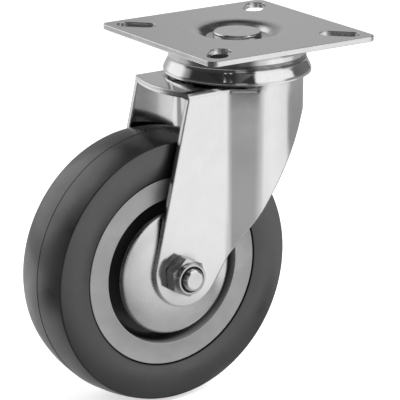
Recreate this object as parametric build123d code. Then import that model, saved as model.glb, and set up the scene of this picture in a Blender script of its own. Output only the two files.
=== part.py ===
from build123d import *
import os
from math import acos, asin, cos, hypot, pi, radians, sin, sqrt, tan

# Swivel castor with a flanged top plate, a double ball-race head and a rubber wheel.
# Millimetres. The origin is on the swivel axis, on the face that bolts to the load.
# +Z is up. The wheel trails towards -X and turns about an axle parallel to Y.

# ---------------------------------------------------------------- wheel and layout
wheel_diameter = 125.0          # over the tread
tyre_width = 33.0               # over the sidewalls
axle_trail = 45.0               # swivel axis to axle, along X
wheel_top_gap = 18.3            # tread to the underside of the crown

# ---------------------------------------------------------------- top plate
plate_width = 90.0              # square
plate_thickness = 2.5
plate_corner_radius = 4.0
plate_edge_radius = 0.35
slot_width = 9.0
slot_travel = 9.0               # between the centres of a slot's round ends
slot_inset = 12.0               # slot's middle to the plate's edges
dish_depth = 3.3                # pressed down around the kingpin
dish_floor_gap = 3.2            # kingpin's head to the dish's wall
dish_slope = 37.5               # degrees, of the dish's wall
dish_lip_radius = 10.0          # roll from the flat into the wall
dish_floor_bend = 1.2

# ---------------------------------------------------------------- kingpin
kingpin_radius = 6.0
kingpin_head_radius = 11.0
kingpin_head_height = 2.6
kingpin_head_edge = 0.5
kingpin_tail_radius = 5.0       # stepped end, through the lower race
kingpin_rivet_radius = 8.0      # spread end, under the lower race
kingpin_rivet_height = 2.5
kingpin_rivet_edge = 0.5
kingpin_fit = 0.05              # radial, in the plate and the races
kingpin_bore_gap = 0.6          # radial, in the fork

# ---------------------------------------------------------------- upper race cup
cup_thickness = 2.0
cup_flare = 2.35                # radius gained by the flared lower part
cup_shoulder_bend = 5.0
cup_wall_drop = 12.0            # mounting face to the start of the flare
cup_flare_bend = 4.5
cup_lip_gap = 1.55              # inside of the lip to the fork's skirt
cup_lip_drop = 18.1             # mounting face to the lower edge
cup_lip_height = 1.2
cup_lip_bend = 2.5

# ---------------------------------------------------------------- ball races
upper_ball_radius = 3.2
upper_ball_inset = 1.0          # ring of ball centres inside the dome's wall
upper_groove_depth = 0.8
lower_ball_radius = 3.0
lower_ball_gap = 0.4            # ball to the lower race's rim
lower_groove_depth = 0.7
ball_spacing_gap = 0.4          # least gap between neighbours in a ring
race_clearance = 0.05           # ball to groove
lower_race_thickness = 2.0
lower_race_gap = 0.9            # lower race to the inside of the dome
lower_race_bend = 2.6
lower_race_rim = 2.8            # rim above the race's floor

# ---------------------------------------------------------------- fork
fork_thickness = 2.5
tyre_side_gap = 2.75            # each sidewall to its leg
crown_radius = 30.2             # outside of the round skirt
crown_to_lip_gap = 1.1          # cup's lower edge to the crown
crown_bend = 3.0                # outside, crown to skirt and legs
flare_angle = 32.0              # degrees, of the spreading walls
flare_setback = 1.16            # spreading walls' planes inside the skirt's circle
flare_hollow_radius = 7.0       # leg to spreading wall, outside
flare_round_radius = 12.0       # spreading wall to skirt, outside
bell_rise = 2.8                 # round step of the crown inside the cup
bell_bend = 2.8                 # outside, at the top of the step
bell_turn = 10.0                # degrees, the step's flats draw back from the spreading walls
dome_shelf = 7.0                # skirt's outside to the dome that seats the balls
dome_bend = 3.5
dome_foot_bend = 0.8
skirt_depth = 14.6              # crown to the lower edge at the nose
skirt_corner_radius = 16.0      # where that edge turns down the leg
foot_radius = 17.0
foot_lead = 3.2                 # foot's centre ahead of the axle
foot_rise = 1.3                 # foot's centre above the axle
leg_trailing_lean = 12.9        # degrees from upright
leg_front_lean = 33.0           # degrees from upright
sheet_edge_radius = 0.3         # outer edge of the legs, the skirt and the tail

# ---------------------------------------------------------------- axle
bolt_radius = 5.0
bolt_hole_gap = 0.2             # radial, in legs, guards and tube
bolt_head_across_flats = 16.0
bolt_head_height = 6.4
bolt_end_chamfer = 0.95
bolt_projection = 2.2           # past the nut
nut_across_flats = 16.0
nut_hex_height = 5.8
nut_collar_height = 2.7
nut_collar_wall = 1.35          # round the insert
nut_collar_edge = 0.8
nut_turn = 4.5                  # degrees, where the nut came to rest
insert_wall = 0.85
insert_depth = 2.2
insert_recess = 0.35            # below the collar's rim
thread_gap = 0.05               # radial, bolt in nut and insert
hex_corner_land = 0.2           # flat's middle to the turned-down corner circle

# ---------------------------------------------------------------- wheel bearing
tube_wall = 2.8
roller_radius = 2.0
roller_count = 10
roller_edge = 0.3
roller_clearance = 0.05         # radial, to tube and sleeve
cage_gap = 0.2                  # cage to tube, sleeve and end caps
cage_window_gap = 0.12          # round each roller
cage_rim = 1.6                  # beyond the rollers' ends
sleeve_wall = 1.4
cap_gap = 0.3                   # end cap to tube and to thread guard
cap_flange = 1.5
cap_overlap = 2.5               # flange beyond the sleeve, radial
cap_spigot = 2.4

# ---------------------------------------------------------------- thread guards
guard_thickness = 1.0
guard_side_gap = 5.1            # guard's rim to the ring of the wheel centre
guard_flat_radius = 13.0        # clamped flat round the axle
guard_dome = 2.1                # how far the rim stands back from the flat
guard_rim_bend = 1.6

# ---------------------------------------------------------------- wheel centre
hub_inset = 1.75                # ring face inside the tyre's width, each side
ring_width = 9.7
ring_hollow = 0.55              # dip of the ring face
ring_wall_draft = 7.0           # degrees, inner wall of the ring
web_thickness = 9.0
web_corner_radius = 2.0
boss_wall = 4.3                 # round the bearing sleeve
boss_draft = 5.0                # degrees
boss_edge_radius = 0.6
ring_edge_radius = 0.5
channel_depth = 2.6             # groove that keys the tyre
channel_width = 18.0

# ---------------------------------------------------------------- tyre
tyre_depth = 18.5               # tread to the wheel centre
tread_crown = 2.3               # fall of the tread from the middle to the shoulder
shoulder_radius = 2.2
sidewall_gap = 0.35             # between tyre and ring face, radial
sidewall_gap_depth = 1.2
waist_height = 11.0             # fullest part of the sidewall above the wheel centre
bead_inset = 1.6                # sidewall's step back beside the hub
shoulder_inset = 0.4            # sidewall's step back at the tread
mould_ridge = 0.18              # mould line round the tread
mould_ridge_width = 0.6

# ---------------------------------------------------------------- worked out
wheel_radius = wheel_diameter / 2
tread_half = tyre_width / 2
hub_half = tread_half - hub_inset
hub_radius = wheel_radius - tyre_depth
ring_inner_radius = hub_radius - ring_width
leg_inner = tread_half + tyre_side_gap
leg_outer = leg_inner + fork_thickness

slot_spacing = plate_width - 2 * slot_inset
dish_floor_radius = kingpin_head_radius + dish_floor_gap
dish_wall_run = dish_depth / tan(radians(dish_slope))
dish_radius = dish_floor_radius + dish_wall_run + dish_lip_radius / 2

cup_lip_radius = crown_radius + cup_lip_gap + cup_thickness
cup_shoulder_radius = cup_lip_radius - cup_flare
cup_flange_floor = -(plate_thickness + cup_thickness)
crown_top = -(cup_lip_drop + crown_to_lip_gap)
bell_top = crown_top + bell_rise
axle_drop = wheel_radius + wheel_top_gap + fork_thickness - crown_top

dome_radius = crown_radius - dome_shelf
upper_ball_circle = dome_radius - upper_ball_inset
upper_ball_z = cup_flange_floor + upper_groove_depth - race_clearance - upper_ball_radius
dome_top = upper_ball_z - upper_ball_radius - race_clearance + upper_groove_depth
dome_floor = dome_top - fork_thickness
lower_race_radius = dome_radius - fork_thickness - lower_race_gap
lower_race_wall = lower_race_radius - lower_race_thickness
lower_ball_circle = lower_race_wall - lower_ball_gap - lower_ball_radius
lower_ball_z = dome_floor + lower_groove_depth - race_clearance - lower_ball_radius
lower_race_top = lower_ball_z - lower_ball_radius - race_clearance + lower_groove_depth
lower_race_floor = lower_race_top - lower_race_thickness

flare_turn = radians(flare_angle)
flare_to_axis = crown_radius - flare_setback
flare_start = (flare_to_axis - leg_outer * cos(flare_turn)) / sin(flare_turn)
bell_heading = flare_turn + radians(bell_turn)
bell_to_axis = crown_radius * cos(acos(flare_to_axis / crown_radius) + radians(bell_turn))

tube_bore = bolt_radius + bolt_hole_gap
tube_radius = tube_bore + tube_wall
tube_half = leg_inner - guard_thickness
roller_circle = tube_radius + roller_clearance + roller_radius
sleeve_bore = roller_circle + roller_radius + roller_clearance
sleeve_radius = sleeve_bore + sleeve_wall
boss_radius = sleeve_radius + boss_wall
boss_half = tube_half - cap_gap - cap_flange
sleeve_half = boss_half - cap_spigot
cage_half = sleeve_half - cage_gap
roller_half = cage_half - cage_rim - cage_window_gap
guard_radius = ring_inner_radius - guard_side_gap

thread_bore = bolt_radius + thread_gap
insert_radius = thread_bore + insert_wall
nut_collar_radius = insert_radius + nut_collar_wall
nut_hex_end = leg_outer + nut_hex_height
nut_end = nut_hex_end + nut_collar_height
insert_end = nut_end - insert_recess
bolt_end = nut_end + bolt_projection

# Foot of the leg, where its two edges run into the round end, as (X, Z).
foot_x = -axle_trail + foot_lead
foot_z = -axle_drop + foot_rise
trailing_lean = radians(leg_trailing_lean)
front_lean = radians(leg_front_lean)
trailing_x = foot_x - foot_radius * cos(trailing_lean)
trailing_z = foot_z + foot_radius * sin(trailing_lean)
front_x = foot_x + foot_radius * cos(front_lean)
front_z = foot_z - foot_radius * sin(front_lean)

# Axle frames: local Z runs out of the wheel, towards -Y (near) or +Y (far).
NEAR = Pos(-axle_trail, 0, -axle_drop) * Rot(X=90)
FAR = Pos(-axle_trail, 0, -axle_drop) * Rot(X=-90)


# ---------------------------------------------------------------- helpers
same_place = 1e-3


def turned(outline):
    """Solid of revolution about Z from a closed face drawn as (radius, height)."""
    return revolve(Plane.XZ * outline, Axis.Z)


def turned_polygon(*points):
    return turned(make_face(Polyline(*points, close=True)))


def on_the_right(point, heading, distance):
    """Point moved square to a heading, to its right."""
    return point + distance * Vector(heading.Y, -heading.X)


def pressed_ring(points, radii, thickness):
    """Sheet turned about Z. The points run outwards along its upper face."""
    corners = [Vector(*point) for point in points]
    headings = [(end - start).normalized() for start, end in zip(corners, corners[1:])]
    lower = [on_the_right(corners[0], headings[0], thickness)]
    lower_radii = []
    for corner, before, after, radius in zip(corners[1:], headings, headings[1:], radii):
        bisector = (before + after).normalized()
        lower.append(on_the_right(corner, bisector, thickness / bisector.dot(before)))
        turns_left = before.cross(after).Z > 0
        lower_radii.append(radius + thickness if turns_left else radius - thickness)
    lower.append(on_the_right(corners[-1], headings[-1], thickness))
    return turned(make_face([
        FilletPolyline(*corners, radius=radii),
        Line(corners[-1], lower[-1]),
        FilletPolyline(*lower, radius=lower_radii),
        Line(lower[0], corners[0]),
    ]))


def bar(radius, low, high):
    """Round bar on the Z axis between two heights."""
    return Pos(0, 0, (low + high) / 2) * Cylinder(radius, high - low)


def tube(outer, inner, low, high):
    return bar(outer, low, high) - bar(inner, low, high)


def corner_at(sketch, x, y):
    """Vertices of a flat outline at one place."""
    return sketch.vertices().filter_by(lambda v: hypot(v.X - x, v.Y - y) < same_place)


def corner_pair(sketch, x, y):
    """Vertices of a flat outline at (x, y) and at its mirror image (x, -y)."""
    return corner_at(sketch, x, y) + corner_at(sketch, x, -y)


def groove(circle, height, ball):
    """Ring-shaped cutter that leaves a ball track."""
    return Pos(0, 0, height) * Torus(circle, ball + race_clearance)


def ball_ring(circle, height, ball):
    """As many balls as go round a ring with the least gap between them."""
    half_pitch = asin((ball + ball_spacing_gap / 2) / circle)
    count = int(pi / half_pitch)
    one = Pos(circle, 0, height) * Sphere(ball)
    return Compound(children=[Rot(Z=360 * i / count) * one for i in range(count)])


def hexagon(across_flats, low, high):
    """Hexagonal bar whose corners are turned down at its upper end."""
    half_corner = radians(30)
    corner = across_flats / 2 / cos(half_corner)
    land = across_flats / 2 - hex_corner_land
    drop = (corner - land) * tan(half_corner)
    blank = RegularPolygon(across_flats / 2, 6, major_radius=False)
    envelope = turned_polygon((0, low), (corner, low), (corner, high - drop), (land, high), (0, high))
    return Pos(0, 0, low) * extrude(blank, high - low) & envelope


# ---------------------------------------------------------------- swivel head
def dish_points(outer_radius):
    """Upper face of the dished middle, from the kingpin out to the flat."""
    return [
        (kingpin_radius + kingpin_fit, -dish_depth),
        (dish_floor_radius, -dish_depth),
        (dish_floor_radius + dish_wall_run, 0),
        (outer_radius, 0),
    ]


def make_top_plate():
    blank = RectangleRounded(plate_width, plate_width, plate_corner_radius)
    for i in range(4):
        place = Rot(Z=45 + 90 * i) * Pos(slot_spacing / sqrt(2), 0)
        blank -= place * SlotCenterToCenter(slot_travel, slot_width)
    flat = extrude(blank, -plate_thickness)
    flat = fillet(flat.edges().group_by(Axis.Z)[-1], plate_edge_radius)
    underside = flat.faces().sort_by(Axis.Z)[0]
    flat = fillet(underside.outer_wire().edges(), plate_edge_radius)
    flat -= bar(dish_radius, -2 * plate_thickness, plate_thickness)
    bends = [dish_floor_bend, dish_lip_radius]
    return flat + pressed_ring(dish_points(dish_radius), bends, plate_thickness)


def make_upper_race_cup():
    """Pressed cup that nests under the plate's dish and hangs over the balls."""
    step = plate_thickness * tan(radians(dish_slope / 2))
    inner, floor_corner, lip_corner, _ = dish_points(dish_radius)
    points = [
        (inner[0], inner[1] - plate_thickness),
        (floor_corner[0] + step, floor_corner[1] - plate_thickness),
        (lip_corner[0] + step, lip_corner[1] - plate_thickness),
        (cup_shoulder_radius, -plate_thickness),
        (cup_shoulder_radius, -cup_wall_drop),
        (cup_lip_radius, cup_lip_height - cup_lip_drop),
        (cup_lip_radius, -cup_lip_drop),
    ]
    bends = [
        dish_floor_bend + plate_thickness,
        dish_lip_radius - plate_thickness,
        cup_shoulder_bend,
        cup_flare_bend,
        cup_lip_bend,
    ]
    cup = pressed_ring(points, bends, cup_thickness)
    return cup - groove(upper_ball_circle, upper_ball_z, upper_ball_radius)


def make_kingpin():
    """Headed pin, stepped and riveted over under the lower race."""
    head_top = kingpin_head_height - dish_depth
    rivet_low = lower_race_floor - kingpin_rivet_height
    return turned_polygon(
        (0, head_top),
        (kingpin_head_radius - kingpin_head_edge, head_top),
        (kingpin_head_radius, head_top - kingpin_head_edge),
        (kingpin_head_radius, -dish_depth),
        (kingpin_radius, -dish_depth),
        (kingpin_radius, lower_race_top),
        (kingpin_tail_radius, lower_race_top),
        (kingpin_tail_radius, lower_race_floor),
        (kingpin_rivet_radius, lower_race_floor),
        (kingpin_rivet_radius, lower_race_floor - kingpin_rivet_edge),
        (kingpin_tail_radius, rivet_low),
        (0, rivet_low),
    )


def make_lower_race():
    """Small cup that carries the lower balls against the underside of the dome."""
    race_top = lower_race_top + lower_race_rim
    points = [
        (kingpin_tail_radius + kingpin_fit, lower_race_top),
        (lower_race_wall, lower_race_top),
        (lower_race_wall, race_top),
    ]
    inside_bend = lower_race_bend - lower_race_thickness
    cup = pressed_ring(points, [inside_bend], lower_race_thickness)
    return cup - groove(lower_ball_circle, lower_ball_z, lower_ball_radius)


# ---------------------------------------------------------------- fork
def fork_plan(inset):
    """Outline of the fork's walls seen from above, set in from their outer faces."""
    radius = crown_radius - inset
    half = leg_outer - inset
    start = inset * tan(flare_turn / 2) - flare_start
    towards_axis = -(start * cos(flare_turn) + half * sin(flare_turn))
    along = towards_axis + sqrt(towards_axis**2 + radius**2 - start**2 - half**2)
    end_x = start + along * cos(flare_turn)
    end_y = half + along * sin(flare_turn)
    reach = axle_trail + 2 * foot_radius + inset
    legs = Polyline(
        (end_x, end_y),
        (start, half),
        (-reach, half),
        (-reach, -half),
        (start, -half),
        (end_x, -end_y),
    )
    plan = make_face([legs, ThreePointArc((end_x, -end_y), (radius, 0), (end_x, end_y))])
    plan = fillet(corner_pair(plan, start, half), flare_hollow_radius + inset)
    return fillet(corner_pair(plan, end_x, end_y), flare_round_radius - inset)


def fork_block(inset):
    """Everything inside the fork's outer (or, set in, its inner) surface."""
    top = crown_top - inset
    block = Pos(0, 0, top) * extrude(fork_plan(inset), -axle_drop)
    rim = block.edges().group_by(Axis.Z)[-1].sort_by(Axis.X)[1:]
    return fillet(rim, crown_bend - inset) + bell_block(inset)


def bell_plan(inset):
    """Round step seen from above: the skirt's circle with a flat drawn back on each side."""
    radius = crown_radius - inset
    flat = bell_to_axis - inset
    apex = -flat / sin(bell_heading)
    half_width = (radius - apex) * tan(bell_heading)
    plan = Circle(radius) & make_face(
        Polyline((apex, 0), (radius, half_width), (radius, -half_width), close=True)
    )
    return fillet(plan.vertices().sort_by(Axis.X)[-2:], flare_round_radius - inset)


def bell_block(inset):
    """Round step of the crown, set in by the same thickness."""
    plan = bell_plan(inset)
    block = Pos(0, 0, bell_top - inset) * extrude(plan, inset - bell_rise - 2 * crown_bend)
    return fillet(block.edges().group_by(Axis.Z)[-1], bell_bend - inset)


def fork_side():
    """Side view of the fork: the legs' slanting edges, the foot and the skirt."""
    bend_foot = crown_top - crown_bend
    skirt_edge = crown_top - skirt_depth
    skirt_x = front_x + (skirt_edge - front_z) * tan(front_lean)
    tail_x = trailing_x + (bell_top - trailing_z) * tan(trailing_lean)
    ahead = 2 * crown_radius
    side = make_face([
        Line((tail_x, bell_top), (trailing_x, trailing_z)),
        ThreePointArc((trailing_x, trailing_z), (foot_x, foot_z - foot_radius), (front_x, front_z)),
        Polyline(
            (front_x, front_z),
            (skirt_x, skirt_edge),
            (ahead, skirt_edge),
            (ahead, bell_top),
            (tail_x, bell_top),
        ),
    ])
    side = fillet(corner_at(side, skirt_x, skirt_edge), skirt_corner_radius)
    legs = extrude(Plane.XZ * side, 2 * crown_radius, both=True)
    bend_x = trailing_x + (bend_foot - trailing_z) * tan(trailing_lean)
    return legs + bar(hypot(bend_x, leg_outer), bend_foot, bell_top)


def trailing_edge(legs):
    """Hindmost outer edge of a leg; a rounding runs on from it round the whole outline."""
    straight = legs.edges().filter_by(GeomType.LINE)
    return straight.filter_by(lambda e: abs(abs(e.center().Y) - leg_outer) < same_place).sort_by(Axis.X)[0]


def make_fork():
    """One pressing: domed crown, round skirt and two legs."""
    shell = fork_block(0) - fork_block(fork_thickness)
    seam = (dome_radius + dome_foot_bend + bell_to_axis - bell_bend) / 2
    shell -= bar(seam, crown_top - 2 * fork_thickness, bell_top + fork_thickness)
    dome = pressed_ring(
        [
            (kingpin_radius + kingpin_bore_gap, dome_top),
            (dome_radius, dome_top),
            (dome_radius, bell_top),
            (seam, bell_top),
        ],
        [dome_bend, dome_foot_bend],
        fork_thickness,
    )
    blank = shell & fork_side()
    bend_foot = Plane.XY.offset(crown_top - crown_bend)
    legs = split(blank, bisect_by=bend_foot, keep=Keep.BOTTOM)
    legs = fillet(trailing_edge(legs), sheet_edge_radius)
    fork = split(blank, bisect_by=bend_foot, keep=Keep.TOP) + legs + dome
    fork -= groove(upper_ball_circle, upper_ball_z, upper_ball_radius)
    fork -= groove(lower_ball_circle, lower_ball_z, lower_ball_radius)
    fork -= FAR * bar(tube_bore, -2 * leg_outer, 2 * leg_outer)
    tail = fork.edges().filter_by(lambda e: abs(e.center().Z - crown_top) < same_place).sort_by(Axis.X)[0]
    return fillet(tail, sheet_edge_radius)


# ---------------------------------------------------------------- axle
def make_axle_bolt():
    """Hexagon-head bolt, head on the far side."""
    shank = turned_polygon(
        (0, -bolt_end),
        (bolt_radius - bolt_end_chamfer, -bolt_end),
        (bolt_radius, bolt_end_chamfer - bolt_end),
        (bolt_radius, leg_outer),
        (0, leg_outer),
    )
    return FAR * (shank + hexagon(bolt_head_across_flats, leg_outer, leg_outer + bolt_head_height))


def make_axle_nut():
    """Lock nut with a round collar that holds the insert."""
    body = hexagon(nut_across_flats, leg_outer, nut_hex_end)
    collar = bar(nut_collar_radius, nut_hex_end - nut_collar_edge, nut_end)
    collar = fillet(collar.edges().group_by(Axis.Z)[-1], nut_collar_edge)
    nut = Rot(Z=30 + nut_turn) * body + collar
    nut -= bar(thread_bore, leg_outer, nut_end)
    return NEAR * (nut - bar(insert_radius, insert_end - insert_depth, nut_end))


def make_nut_insert():
    return NEAR * tube(insert_radius, thread_bore, insert_end - insert_depth, insert_end)


def make_axle_tube():
    """Spacer clamped between the thread guards; the rollers run on it."""
    return FAR * tube(tube_radius, tube_bore, -tube_half, tube_half)


# ---------------------------------------------------------------- wheel bearing
def roller(radius, half_length):
    return Pos(roller_circle, 0) * bar(radius, -half_length, half_length)


def make_bearing_rollers():
    one = roller(roller_radius, roller_half)
    one = fillet(one.edges().filter_by(GeomType.CIRCLE), roller_edge)
    return FAR * Compound(children=[Rot(Z=360 * i / roller_count) * one for i in range(roller_count)])


def make_roller_cage():
    cage = tube(sleeve_bore - cage_gap, tube_radius + cage_gap, -cage_half, cage_half)
    window = roller(roller_radius + cage_window_gap, roller_half + cage_window_gap)
    for i in range(roller_count):
        cage -= Rot(Z=360 * i / roller_count) * window
    return FAR * cage


def make_bearing_sleeve():
    return FAR * tube(sleeve_radius, sleeve_bore, -sleeve_half, sleeve_half)


def make_end_cap(side):
    """Flanged plug that closes one end of the bearing."""
    bore = tube_radius + cap_gap
    spigot = tube(sleeve_radius, bore, sleeve_half, boss_half)
    flange = tube(sleeve_radius + cap_overlap, bore, boss_half, boss_half + cap_flange)
    return side * (spigot + flange)


def make_thread_guard(side):
    """Dished steel disc between a leg and the wheel."""
    bore_end = Vector(tube_bore, leg_inner)
    flat_end = Vector(guard_flat_radius, leg_inner)
    rim = Vector(guard_radius - guard_rim_bend, leg_inner - guard_dome)
    edge_end = rim + Vector(guard_rim_bend, -guard_rim_bend)
    level = Vector(1, 0)
    dome = TangentArc(flat_end, rim, tangent=level)
    edge = TangentArc(rim, edge_end, tangent=dome % 1)
    inner_bore = on_the_right(bore_end, level, guard_thickness)
    inner_flat = on_the_right(flat_end, level, guard_thickness)
    inner_rim = on_the_right(rim, dome % 1, guard_thickness)
    inner_edge = on_the_right(edge_end, edge % 1, guard_thickness)
    face = make_face([
        Polyline(inner_flat, inner_bore, bore_end, flat_end),
        dome,
        edge,
        Line(edge_end, inner_edge),
        TangentArc(inner_rim, inner_edge, tangent=dome % 1),
        TangentArc(inner_flat, inner_rim, tangent=level),
    ])
    return side * turned(face)


# ---------------------------------------------------------------- wheel
def make_wheel_hub():
    """Moulded centre: ring, web and boss, the same on both sides."""
    web_half = web_thickness / 2
    channel_half = channel_width / 2
    channel_floor = hub_radius - channel_depth
    ring_foot = ring_inner_radius - (hub_half - web_half) * tan(radians(ring_wall_draft))
    boss_foot = boss_radius + (boss_half - web_half) * tan(radians(boss_draft))
    outline = Polyline(
        (sleeve_radius, 0),
        (sleeve_radius, boss_half),
        (boss_radius, boss_half),
        (boss_foot, web_half),
        (ring_foot, web_half),
        (ring_inner_radius, hub_half),
        (hub_radius, hub_half),
        (hub_radius, channel_half),
        (channel_floor, channel_half),
        (channel_floor, 0),
        close=True,
    )
    section = make_face(outline)
    section = fillet(corner_at(section, boss_radius, boss_half), boss_edge_radius)
    section = fillet(corner_at(section, boss_foot, web_half), web_corner_radius)
    section = fillet(corner_at(section, ring_foot, web_half), web_corner_radius)
    half_ring = (hub_radius - ring_inner_radius) / 2
    hollow_radius = (half_ring**2 + ring_hollow**2) / (2 * ring_hollow)
    hollow_place = Pos(hub_radius - half_ring, hub_half - ring_hollow + hollow_radius)
    section -= hollow_place * Circle(hollow_radius)
    section = fillet(corner_at(section, ring_inner_radius, hub_half), ring_edge_radius)
    return FAR * turned(section + mirror(section, Plane.XZ))


def make_tyre():
    """Solid rubber tyre, keyed into the hub's channel."""
    channel_half = channel_width / 2
    channel_floor = hub_radius - channel_depth
    gap_foot = hub_half - sidewall_gap_depth
    bead = (hub_radius + sidewall_gap, tread_half - bead_inset)
    waist = (hub_radius + waist_height, tread_half)
    shoulder = (wheel_radius - tread_crown, tread_half - shoulder_inset)
    half = make_face([
        Polyline(
            (wheel_radius - tread_crown, 0),
            (channel_floor, 0),
            (channel_floor, channel_half),
            (hub_radius, channel_half),
            (hub_radius, gap_foot),
            bead,
        ),
        ThreePointArc(bead, waist, shoulder),
        Line(shoulder, (wheel_radius - tread_crown, 0)),
    ])
    section = half + mirror(half, Plane.XZ)
    rear = (shoulder[0], -shoulder[1])
    section += make_face([ThreePointArc(shoulder, (wheel_radius, 0), rear), Line(rear, shoulder)])
    section = fillet(corner_at(section, *shoulder), shoulder_radius)
    section = fillet(corner_at(section, *rear), shoulder_radius)
    ridge_height = 2 * mould_ridge
    section += Pos(wheel_radius, 0) * Rectangle(ridge_height, mould_ridge_width)
    return FAR * turned(section)


# ---------------------------------------------------------------- files
pieces = {
    "top_plate": make_top_plate(),
    "upper_race_cup": make_upper_race_cup(),
    "kingpin": make_kingpin(),
    "upper_balls": ball_ring(upper_ball_circle, upper_ball_z, upper_ball_radius),
    "lower_balls": ball_ring(lower_ball_circle, lower_ball_z, lower_ball_radius),
    "lower_race": make_lower_race(),
    "fork": make_fork(),
    "axle_bolt": make_axle_bolt(),
    "axle_nut": make_axle_nut(),
    "nut_insert": make_nut_insert(),
    "axle_tube": make_axle_tube(),
    "bearing_rollers": make_bearing_rollers(),
    "roller_cage": make_roller_cage(),
    "bearing_sleeve": make_bearing_sleeve(),
    "end_cap_near": make_end_cap(NEAR),
    "end_cap_far": make_end_cap(FAR),
    "thread_guard_near": make_thread_guard(NEAR),
    "thread_guard_far": make_thread_guard(FAR),
    "wheel_hub": make_wheel_hub(),
    "tyre": make_tyre(),
}

os.makedirs("parts", exist_ok=True)
for name, piece in pieces.items():
    export_step(piece, f"parts/{name}.step")
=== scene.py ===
import math

import bmesh
import bpy
from mathutils import Matrix, Vector


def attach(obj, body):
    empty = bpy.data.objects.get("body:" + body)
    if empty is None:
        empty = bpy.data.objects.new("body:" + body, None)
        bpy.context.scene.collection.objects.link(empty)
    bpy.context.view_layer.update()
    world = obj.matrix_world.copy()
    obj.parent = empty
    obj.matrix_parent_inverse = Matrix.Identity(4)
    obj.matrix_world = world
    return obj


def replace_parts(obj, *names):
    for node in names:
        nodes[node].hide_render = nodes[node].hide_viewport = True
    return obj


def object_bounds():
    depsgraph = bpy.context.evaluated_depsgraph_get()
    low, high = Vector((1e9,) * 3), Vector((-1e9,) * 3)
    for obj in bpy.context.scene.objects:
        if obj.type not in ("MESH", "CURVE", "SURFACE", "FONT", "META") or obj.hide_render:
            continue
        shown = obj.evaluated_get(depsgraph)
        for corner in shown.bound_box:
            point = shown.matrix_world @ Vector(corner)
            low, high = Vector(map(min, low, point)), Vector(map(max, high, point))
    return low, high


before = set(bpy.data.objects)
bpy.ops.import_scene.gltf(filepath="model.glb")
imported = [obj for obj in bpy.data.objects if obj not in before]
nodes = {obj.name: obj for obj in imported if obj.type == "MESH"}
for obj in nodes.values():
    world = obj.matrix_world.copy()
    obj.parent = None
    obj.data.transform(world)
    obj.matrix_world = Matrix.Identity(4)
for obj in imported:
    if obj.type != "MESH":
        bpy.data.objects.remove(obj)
cad_low, cad_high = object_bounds()

MM = 0.001

# ---------------------------------------------------------------- sizes of the turned pieces, in mm and degrees
axle_x, axle_z = -45.0, -102.5

# Tyre and wheel centre; a "half" is a distance from the wheel's middle plane.
wheel_radius = 62.5
tread_half = 16.5
tread_crown = 2.3               # fall of the tread from the middle to the shoulder
shoulder_inset, shoulder_round = 0.4, 2.2
waist_height = 11.0             # fullest part of the sidewall above the wheel centre
bead_inset = 1.6
bead_gap, bead_gap_depth = 0.35, 1.2
ridge_height, ridge_half = 0.18, 0.3
hub_radius = 44.0
hub_half = 14.75
ring_inner, ring_draft = 34.3, 7.0
ring_hollow = 0.55              # dip of the ring face
web_half = 4.5
sleeve_radius = 13.5
boss_radius, boss_draft = 17.8, 5.0
boss_half = 16.45
channel_half, channel_depth = 9.0, 2.6

# Pieces on the axle; an "end" is a distance from the wheel's middle plane.
leg_inner, leg_outer = 19.25, 21.75
guard_radius, guard_flat = 29.2, 13.0
guard_dome, guard_bend, guard_thickness = 2.1, 1.6, 1.0
bolt_radius, bolt_hole_gap = 5.0, 0.2
bolt_end, bolt_chamfer = 32.45, 0.95
thread_pitch, thread_depth, thread_turns = 1.25, 0.55, 9.2
head_flats, head_height, head_turn = 16.0, 6.4, 17.0
nut_flats, nut_turn = 16.0, 4.5
nut_hex_end, nut_end = 27.55, 30.25
collar_radius = 7.25
insert_outer, insert_inner = 5.9, 5.05
insert_end, insert_depth = 29.9, 2.2

# Rings of balls about the swivel axis: ball radius, ring radius, height, count.
upper_ring = (3.2, 22.2, -6.95, 20)
lower_ring = (3.0, 14.4024, -14.25, 14)


# ---------------------------------------------------------------- mesh helpers
def on_axle(tilt):
    """Frame with its origin in the wheel's middle and its Z axis along the axle."""
    return Matrix.Translation((axle_x * MM, 0, axle_z * MM)) @ Matrix.Rotation(math.radians(tilt), 4, "X")


NEAR_SIDE = on_axle(90)         # Z runs towards -Y, the nut's side
FAR_SIDE = on_axle(-90)         # Z runs towards +Y, the bolt head's side


def round_angles(count):
    return [2 * math.pi * k / count for k in range(count)]


def around(radius, angle, height):
    return (radius * math.cos(angle), radius * math.sin(angle), height)


def rounded(corners, step=12.0, support=0.12):
    """Points of a closed section drawn as (radius, height, rounding).

    A rounded corner becomes an arc with a point every `step` degrees and one more `support` mm beyond each end.
    """
    out = []
    for i, (x, y, rounding) in enumerate(corners):
        here = Vector((x, y))
        if rounding <= 0:
            out.append(here)
            continue
        before = Vector(corners[i - 1][:2])
        after = Vector(corners[(i + 1) % len(corners)][:2])
        a, b = (before - here), (after - here)
        room_a, room_b = a.length, b.length
        a.normalize()
        b.normalize()
        turn = math.pi - a.angle(b)
        if turn < 1e-4:
            out.append(here)
            continue
        reach = min(rounding * math.tan(turn / 2), 0.49 * room_a, 0.49 * room_b)
        radius = reach / math.tan(turn / 2)
        centre = here + (a + b).normalized() * (radius / math.cos(turn / 2))
        start, end = here + a * reach, here + b * reach
        if room_a > 2 * reach + 2 * support:
            out.append(start + a * support)
        steps = max(2, int(math.degrees(turn) / step + 0.5))
        u, v = start - centre, end - centre
        for k in range(steps + 1):
            t = k / steps
            out.append(centre + (u * math.sin((1 - t) * turn) + v * math.sin(t * turn)) / math.sin(turn))
        if room_b > 2 * reach + 2 * support:
            out.append(end + b * support)
    return [(p.x, p.y) for p in out]


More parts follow.
